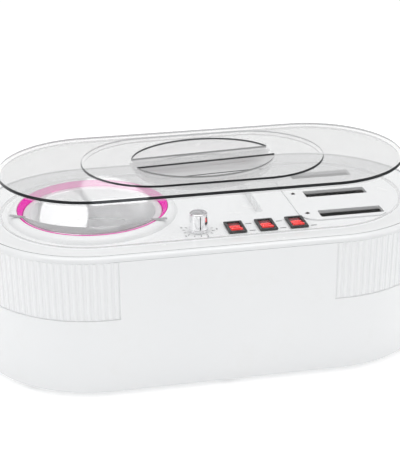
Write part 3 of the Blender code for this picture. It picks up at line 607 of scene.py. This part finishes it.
# ---- pot side -----------------------------------------------------------------------
def collar_ring():
    obj = disc("pink_collar_ring", COLLAR_R - 0.0004, RING[0].z, (POT_X, 0.0))
    edit(obj)
    profile([(0.0001, RING[1].z - RING[0].z + 0.0003), (0.0002, 0.0003), (0.0005, 0.0001),
             (0.0004, -0.0007), (0.0014, -0.0016), (0.0014, -0.0017), (0.0001, -0.0030)])
    bpy.ops.mesh.delete(type="FACE")
    done()
    thicken(obj, 0.0008)
    return finish(obj, PINK, "base", "pink_ring", "collar_ring")


def wax_pot():
    rim_r = POT[1].y
    obj = disc("pot_shell", rim_r, POT[1].z - 0.0010, (POT_X, 0.0))
    edit(obj)
    profile([(0.0001, 0.0005), (0.0003, 0.0003), (0.0005, 0.0002), (0.0036, 0.0), (0.0005, -0.0001),
             (0.0004, -0.0003), (0.0003, -0.0008), (0.0002, -0.0360), (0.0002, -0.0380),
             (0.0008, -0.0030), (0.0018, -0.0024), (0.0030, -0.0012), (0.0045, -0.0003),
             (0.0080, 0.0001), (0.0080, 0.0), (0.0060, -0.0003), (0.0060, 0.0001)])
    done()
    thicken(obj, 0.0010)
    return finish(obj, SPUN, "pot", "spun_aluminium", "wax_pot")


def scraper():
    """Crescent bar with a softly rounded edge and a lug at each tip."""
    outer, deepest, sweep, heading = 0.0593, 0.0475, math.radians(62), math.radians(255)
    tip_u, tip_v = outer * math.cos(sweep), outer * math.sin(sweep)
    back = (outer ** 2 - deepest ** 2) / (2 * (deepest - tip_u))
    low, high = SCRAPER[0].z, SCRAPER[1].z
    ahead = Vector((math.cos(heading), math.sin(heading)))
    aside = Vector((-ahead.y, ahead.x))
    centre = Vector((POT_X, 0.0))
    obj = post("wiping_bar", outer, low, high, centre, 180)
    combine(obj, post("bite", deepest + back, low - 0.01, high + 0.01, centre - ahead * back, 240),
            "DIFFERENCE")
    for side in (1, -1):
        spot = centre + ahead * (tip_u - 0.0012) + aside * side * (tip_v + 0.0040)
        lean = heading + side * math.radians(104)
        lug = box("lug", (-0.0068, -0.0011, low + 0.00005), (0.0062, 0.0011, high - 0.00005))
        lug.data.transform(Matrix.Translation((*spot, 0)) @ Matrix.Rotation(lean, 4, "Z"))
        combine(obj, lug, "UNION")
    soften(obj, 0.0003, 2, 50.0)
    return finish(obj, BAR_PAINTED_SHADE, "scraper", "spun_aluminium", "scraper_bar")


# ---- controls -----------------------------------------------------------------------
def knob():
    """Chrome knob: straight barrel, rounded shoulder, shallow cap and a cut pointer line."""
    middle = ((KNOB[0].x + KNOB[1].x) / 2, (KNOB[0].y + KNOB[1].y) / 2)
    radius, top, base = (KNOB[1].x - KNOB[0].x) / 2, KNOB[1].z, DECK_Z + 0.0004
    obj = disc("knob_cap", radius, base, middle, 96)
    edit(obj)
    profile([(0.0001, 0.0012), (0.0001, 0.0006), (0.0002, 0.0006), (0.0001, top - base - 0.0044),
             (0.0004, 0.0010), (0.0007, 0.0005), (0.0012, 0.0001), (0.0010, -0.0003), (0.0020, -0.0001)])
    bpy.ops.mesh.select_all(action="DESELECT")
    done()
    close_bottom(obj)
    groove = box("pointer", (middle[0] - POINTER_HALF, middle[1] - 0.0100, base + 0.0026),
                 (middle[0] + POINTER_HALF, middle[1] - radius + 0.0009, top + 0.0010))
    combine(obj, groove, "DIFFERENCE")
    combine(obj, post("spindle", SPINDLE_R, KNOB[0].z, base + 0.0020, middle, 32), "UNION")
    finish(obj, CHROME, "knob", "chrome", "thermostat_knob")
    paint = box("pointer_paint", (middle[0] - POINTER_HALF, middle[1] - radius + 0.0007, base + 0.0026),
                (middle[0] + POINTER_HALF, middle[1] - radius + 0.0012, top - 0.0014))
    return finish(paint, BLACK, "knob", "chrome")


def dial_marks():
    """Printed ticks and figures round the knob, and two short dashes to the right of each switch."""
    middle = Vector(((KNOB[0].x + KNOB[1].x) / 2, (KNOB[0].y + KNOB[1].y) / 2))
    ink = 0.00008
    marks = []
    for i in range(11):
        angle = math.radians(-222 + 264 * i / 10)
        long = i % 5 == 0
        tick = box("tick", (-0.0013 if long else -0.0008, -0.0003, 0), (0.0013, 0.0003, ink))
        tick.data.transform(Matrix.Translation((middle.x + TICK_REACH * math.cos(angle),
                                                middle.y + TICK_REACH * math.sin(angle), DECK_Z))
                            @ Matrix.Rotation(angle, 4, "Z"))
        marks.append(tick)
    for i, number in enumerate("0246"):
        angle = math.radians(-215 + 72 * i)
        bpy.ops.object.text_add(location=(0, 0, 0))
        text = bpy.context.object
        text.data.body, text.data.size, text.data.extrude = number, FIGURE_SIZE, ink / 2
        text.data.align_x, text.data.align_y = "CENTER", "CENTER"
        bpy.ops.object.convert(target="MESH")
        text = settle(bpy.context.object, "number")
        place = (middle.x + FIGURE_REACH * math.cos(angle),
                 middle.y + FIGURE_REACH * math.sin(angle), DECK_Z + ink / 2)
        text.data.transform(Matrix.Translation(place))
        marks.append(text)
    for switch in SWITCHES:
        x = switch[1].x + 0.0049
        for y in (switch[0].y + 0.0040, switch[1].y - 0.0040):
            marks.append(box("dash", (x - 0.0024, y - 0.0005, DECK_Z),
                             (x + 0.0024, y + 0.0005, DECK_Z + ink)))
    return finish(joined("dial_print", marks), PRINT, "base", "black_nylon")


def switch(i):
    """Rocker switch body: bevelled bezel on a narrower can, a pocket, and two terminal blades."""
    low, high = SWITCHES[i - 1]
    seat = high.z - 0.0017
    obj = box(f"switch_bezel_{i}", (low.x, low.y, seat), high)
    soften(obj, 0.0008, 3)
    middle = (low + high) / 2
    can = box("can", (low.x + 0.0011, low.y + 0.0014, CAN_Z),
              (high.x - 0.0011, high.y - 0.0014, seat + 0.0004))
    combine(obj, can, "UNION")
    pocket = box("pocket", (middle.x - POCKET_HALF[0], middle.y - POCKET_HALF[1], POCKET_Z),
                 (middle.x + POCKET_HALF[0], middle.y + POCKET_HALF[1], 0.13))
    round_corners(pocket, 0.0004, 2)
    combine(obj, pocket, "DIFFERENCE")
    for offset in (-0.005, 0.005):
        blade = box("blade", (middle.x - 0.0024, middle.y + offset - 0.0004, low.z),
                    (middle.x + 0.0024, middle.y + offset + 0.0004, BLADE_TOP))
        combine(obj, blade, "UNION")
    return finish(obj, BLACK, "base", "black_nylon", f"switch_body_{i}")


def rocker(i):
    """Red rocker with a shallow valley and a raised window on each half, the far part darker as painted
    shade.
    """
    joint = next(j for j in frame["joints"] if j["name"] == f"rocker_press_{i}")
    pivot = Vector(joint["pos_m"])
    wide, long = ROCKER_HALF
    obj = box(f"rocker_cap_{i}", (-wide, -long, -0.0008), (wide, long, 0.0030))
    for cut in (0.0, 0.0026):
        edit(obj)
        bpy.ops.mesh.bisect(plane_co=(0, cut, 0), plane_no=(0, 1, 0))
        done()
    for vertex in obj.data.vertices:
        if abs(vertex.co.y) < 0.0001:
            vertex.co.z = 0.0020 if vertex.co.z > 0 else -0.0042
        elif vertex.co.y < 0.0030 and vertex.co.z > 0 and vertex.co.y > 0:
            vertex.co.z = 0.0022
    for side in (1, -1):
        edit(obj, "FACE", lambda f: f.normal.z > 0.5 and side * f.center.y > 0)
        bpy.ops.mesh.inset(thickness=0.0011, depth=0.0)
        bpy.ops.mesh.inset(thickness=0.0003, depth=0.0003)
        done()
    soften(obj, 0.0003, 2)
    obj.data.materials.append(RED)
    obj.data.materials.append(RED_PAINTED_SHADE)
    # Far part of the cap takes the darker red: painted shade.
    for face in obj.data.polygons:
        face.material_index = 1 if face.center.y > 0.0022 else 0
    obj.data.transform(Matrix.Translation(pivot) @ Matrix.Rotation(ROCKER_TILT, 4, "X"))
    return finish(obj, RED, f"rocker_body_{i}", "red_rocker", f"rocker_{i}")


# ---- lid ----------------------------------------------------------------------------
def grip_half(side, spread):
    """D-shaped finger hollow beside the lid's rib: steep at the rib, dished outwards."""
    top = PLATEAU_Z + 0.003
    edge = side * (GRIP_RIB / 2 - spread)
    obj = disc("grip_half", 1.0, top, sides=128)
    edit(obj)
    bpy.ops.transform.resize(value=(GRIP_A + spread, GRIP_B + spread, 1))
    bpy.ops.mesh.bisect(plane_co=(0, edge, 0), plane_no=(0, side, 0), clear_inner=True)
    bpy.ops.mesh.select_all(action="SELECT")
    bpy.ops.mesh.flip_normals()
    depths = [(top - PLATEAU_Z, 1.0), (0.0015, 0.997), (0.0037, 0.958), (0.0043, 0.93), (0.0022, 0.91),
              (0.0006, 0.975), (0.0002, 0.90)]
    for i, (drop, shrink) in enumerate(depths):
        extra = spread if i == 2 else 0.0
        bpy.ops.mesh.extrude_region_move(TRANSFORM_OT_translate={"value": (0, 0, -(drop + extra))})
        bpy.ops.transform.resize(value=(shrink, shrink, 1), center_override=(0, edge, 0))
    done()
    highest = max(v.co.z for v in obj.data.vertices)
    edit(obj, "VERT", lambda v: v.co.z > highest - 0.00001)
    bpy.ops.mesh.select_mode(type="EDGE")
    bpy.ops.mesh.edge_face_add()
    bpy.ops.mesh.select_all(action="SELECT")
    bpy.ops.mesh.normals_make_consistent(inside=False)
    done()
    obj.data.transform(Matrix.Rotation(GRIP_TURN, 4, "Z"))
    return obj


def lid_form(name, inset, low):
    """Solid of the lid's outside, or of its inside when set in by the wall."""
    obj = stadium(name, HALF, LID_R - inset, low)
    edit(obj)
    profile([(0.0, LID_FOOT), (0.0, LID_TOP - inset - low - LID_FOOT - 0.0027), (0.0, 0.0005),
             (0.0003, 0.0009), (0.0006, 0.0007), (0.0013, 0.0006)])
    bpy.ops.mesh.select_all(action="DESELECT")
    done()
    close_bottom(obj)
    plateau = stadium("plateau", PLATEAU_HALF, PLATEAU_R - inset * 0.8, LID_TOP - 0.001 - inset)
    edit(plateau)
    profile([(0.0001, 0.0011), (0.0004, 0.0012), (0.0004, 0.0003), (0.0004, 0.0002)])
    bpy.ops.mesh.select_all(action="DESELECT")
    done()
    close_bottom(plateau)
    combine(obj, plateau, "UNION")
    for side in (1, -1):
        combine(obj, grip_half(side, inset * 0.9), "DIFFERENCE")
    return obj


def lid():
    """Clear shell: outside form less inside form, with its turned edges painted dark as painted reflection.
    """
    obj = lid_form("lid_shell", 0.0, LID[0].z)
    soften(obj, 0.0009, 3, 35.0)
    combine(obj, lid_form("lid_inside", LID_WALL, LID[0].z - 0.01), "DIFFERENCE")
    obj.data.materials.clear()
    for material in (CLEAR, CLEAR_TOP_PAINTED_REFLECTION, EDGE, GRIP_EDGE_PAINTED_REFLECTION):
        obj.data.materials.append(material)
    for face in obj.data.polygons:
        spot, lean = face.center, abs(face.normal.z)
        reach = math.hypot(max(abs(spot.x) - HALF, 0.0), spot.y)
        band = NEAR_BAND if spot.y < 0.0 else FAR_BAND
        turned_out = reach > LID_R - 0.0016 and LID_TOP - band < spot.z < LID_TOP and lean < 0.8
        step = LID_TOP + 0.0002 < spot.z < PLATEAU_Z - 0.0001 and lean < 0.85
        in_grip = (spot.x / GRIP_A) ** 2 + (spot.y / GRIP_B) ** 2 < 1.05
        # Turned edges, steps and the grip's lip and foot take the dark edge colours: painted reflection.
        if in_grip:
            lip = spot.z > PLATEAU_Z - 0.0016 and lean < 0.9
            foot = abs(spot.z - (PLATEAU_Z - GRIP_DEPTH)) < 0.0003 and lean < 0.9 and reach < GRIP_B
            face.material_index = 3 if lip or foot else 1
        elif turned_out or step:
            face.material_index = 2
        else:
            # The foot band and the top take the heavier grey layer: painted reflection.
            foot = spot.z < LID[0].z + LID_FOOT
            face.material_index = 1 if foot or spot.z > LID_TOP - 0.0050 else 0
    obj.visible_shadow = obj.visible_diffuse = False
    return finish(obj, CLEAR, "lid", "clear_lid", "lid", angle=35.0)


# ---- CAD pieces that stay, with their finishes --------------------------------------
def dress(material, *names):
    for name in names:
        frame["nodes"][name].material_slots[0].material = material


def finishes():
    dress(WHITE, "base_plate")
    dress(SPUN, "heater_cup")
    dress(MICA, "band_heater", *[f"cartridge_heater_{i}" for i in (1, 2, 3)])
    dress(BRASS, "thermal_fuse", *[f"inlet_pin_{i}" for i in (1, 2, 3)])
    dress(BLACK, "thermostat_body", "power_inlet", "terminal_block", "wire_inlet", "wire_band_heater")
    dress(INSULATION, "wire_thermostat", "wire_cartridges")
    dress(BOARD, "led_board")
    dress(RUBBER, *[f"foot_{i}" for i in (1, 2, 3, 4)])
    dress(STEEL, *[f"base_screw_{i}" for i in range(1, 7)])
    dress(WELL_PAINTED_SHADE, *[f"cartridge_well_{i}" for i in (1, 2, 3)])
    dress(LAMP, *[f"indicator_led_{i}" for i in (1, 2, 3)])


# ---- studio -------------------------------------------------------------------------
def camera():
    made = bpy.data.cameras.new("camera")
    made.sensor_width, made.sensor_fit = 36.0, "AUTO"
    made.lens = 98.8
    obj = bpy.data.objects.new("camera", made)
    bpy.context.scene.collection.objects.link(obj)
    ahead = Vector((0.18448, 0.90289, -0.38827)).normalized()
    right = ahead.cross(Vector((0, 0, 1))).normalized()
    up = right.cross(ahead)
    roll = math.radians(-0.33)
    across = right * math.cos(roll) + up * math.sin(roll)
    above = up * math.cos(roll) - right * math.sin(roll)
    turn = Matrix((across, above, -ahead)).transposed()
    obj.matrix_world = Matrix.Translation((-0.1948, -0.9393, 0.4963)) @ turn.to_4x4()
    bpy.context.scene.camera = obj


def lamp(name, spot, aim, size, power, colour=(1, 1, 1)):
    light = bpy.data.lights.new(name, "AREA")
    light.shape, light.size, light.size_y, light.energy, light.color = "RECTANGLE", *size, power, colour
    obj = bpy.data.objects.new(name, light)
    bpy.context.scene.collection.objects.link(obj)
    obj.location = spot
    obj.rotation_euler = (Vector(aim) - Vector(spot)).to_track_quat("-Z", "Y").to_euler()


def pot_glow():
    """Small framed spot that reaches over the near rim to the pot's far left wall."""
    light = bpy.data.lights.new("pot_spot", "SPOT")
    light.energy, light.spot_size, light.spot_blend = 85.0, math.radians(2.35), 0.04
    light.use_square, light.shadow_soft_size = True, 0.001
    obj = bpy.data.objects.new("pot_spot", light)
    bpy.context.scene.collection.objects.link(obj)
    obj.location = (0.18, -0.95, 0.62)
    aim = Vector((POT_X - 0.021, 0.043, 0.094)) - obj.location
    obj.rotation_euler = aim.to_track_quat("-Z", "Y").to_euler()


def studio():
    bpy.ops.mesh.primitive_plane_add(size=30.0, location=(0, 0, 0))
    floor = settle(bpy.context.object, "floor")
    recipe = Recipe("floor_paper")
    fibre = recipe.noise(6.0, 2.0)
    floor.data.materials.append(recipe.shade(
        Base_Color=recipe.blend(fibre, (0.90, 0.90, 0.90), (0.92, 0.92, 0.92)), Roughness=0.9,
        Emission_Color=(1, 1, 1, 1), Emission_Strength=0.32))
    world = bpy.data.worlds.new("studio")
    bpy.context.scene.world = world
    world.use_nodes = True
    tree = world.node_tree
    place = tree.nodes.new("ShaderNodeTexCoord")
    split = tree.nodes.new("ShaderNodeSeparateXYZ")
    ramp = tree.nodes.new("ShaderNodeValToRGB")
    tree.links.new(place.outputs["Generated"], split.inputs[0])
    tree.links.new(split.outputs["Z"], ramp.inputs[0])
    tree.links.new(ramp.outputs[0], tree.nodes["Background"].inputs["Color"])
    for stop, (spot, level) in zip(ramp.color_ramp.elements, ((0.0, 0.62), (1.0, 1.10))):
        stop.position, stop.color = spot, (level, level, level, 1)
    tree.nodes["Background"].inputs["Strength"].default_value = 0.70
    lamp("top_box", (0.0, 0.15, 1.6), (0, 0, 0.1), (1.6, 0.9), 9.5)
    pot_glow()
    lamp("left_box", (-1.3, -0.5, 0.7), (0, 0, 0.08), (0.5, 0.8), 1.6)
    lamp("right_box", (1.3, -0.4, 0.8), (0, 0, 0.08), (0.5, 0.8), 1.6)
    bpy.context.scene.view_settings.view_transform = "Standard"


camera()
casing()
flutes()
rim()
groove_painted_shade()
deck()
slot_plate()
collar_ring()
wax_pot()
scraper()
knob()
dial_marks()
for number in (1, 2, 3):
    switch(number)
    rocker(number)
lid()
finishes()
studio()
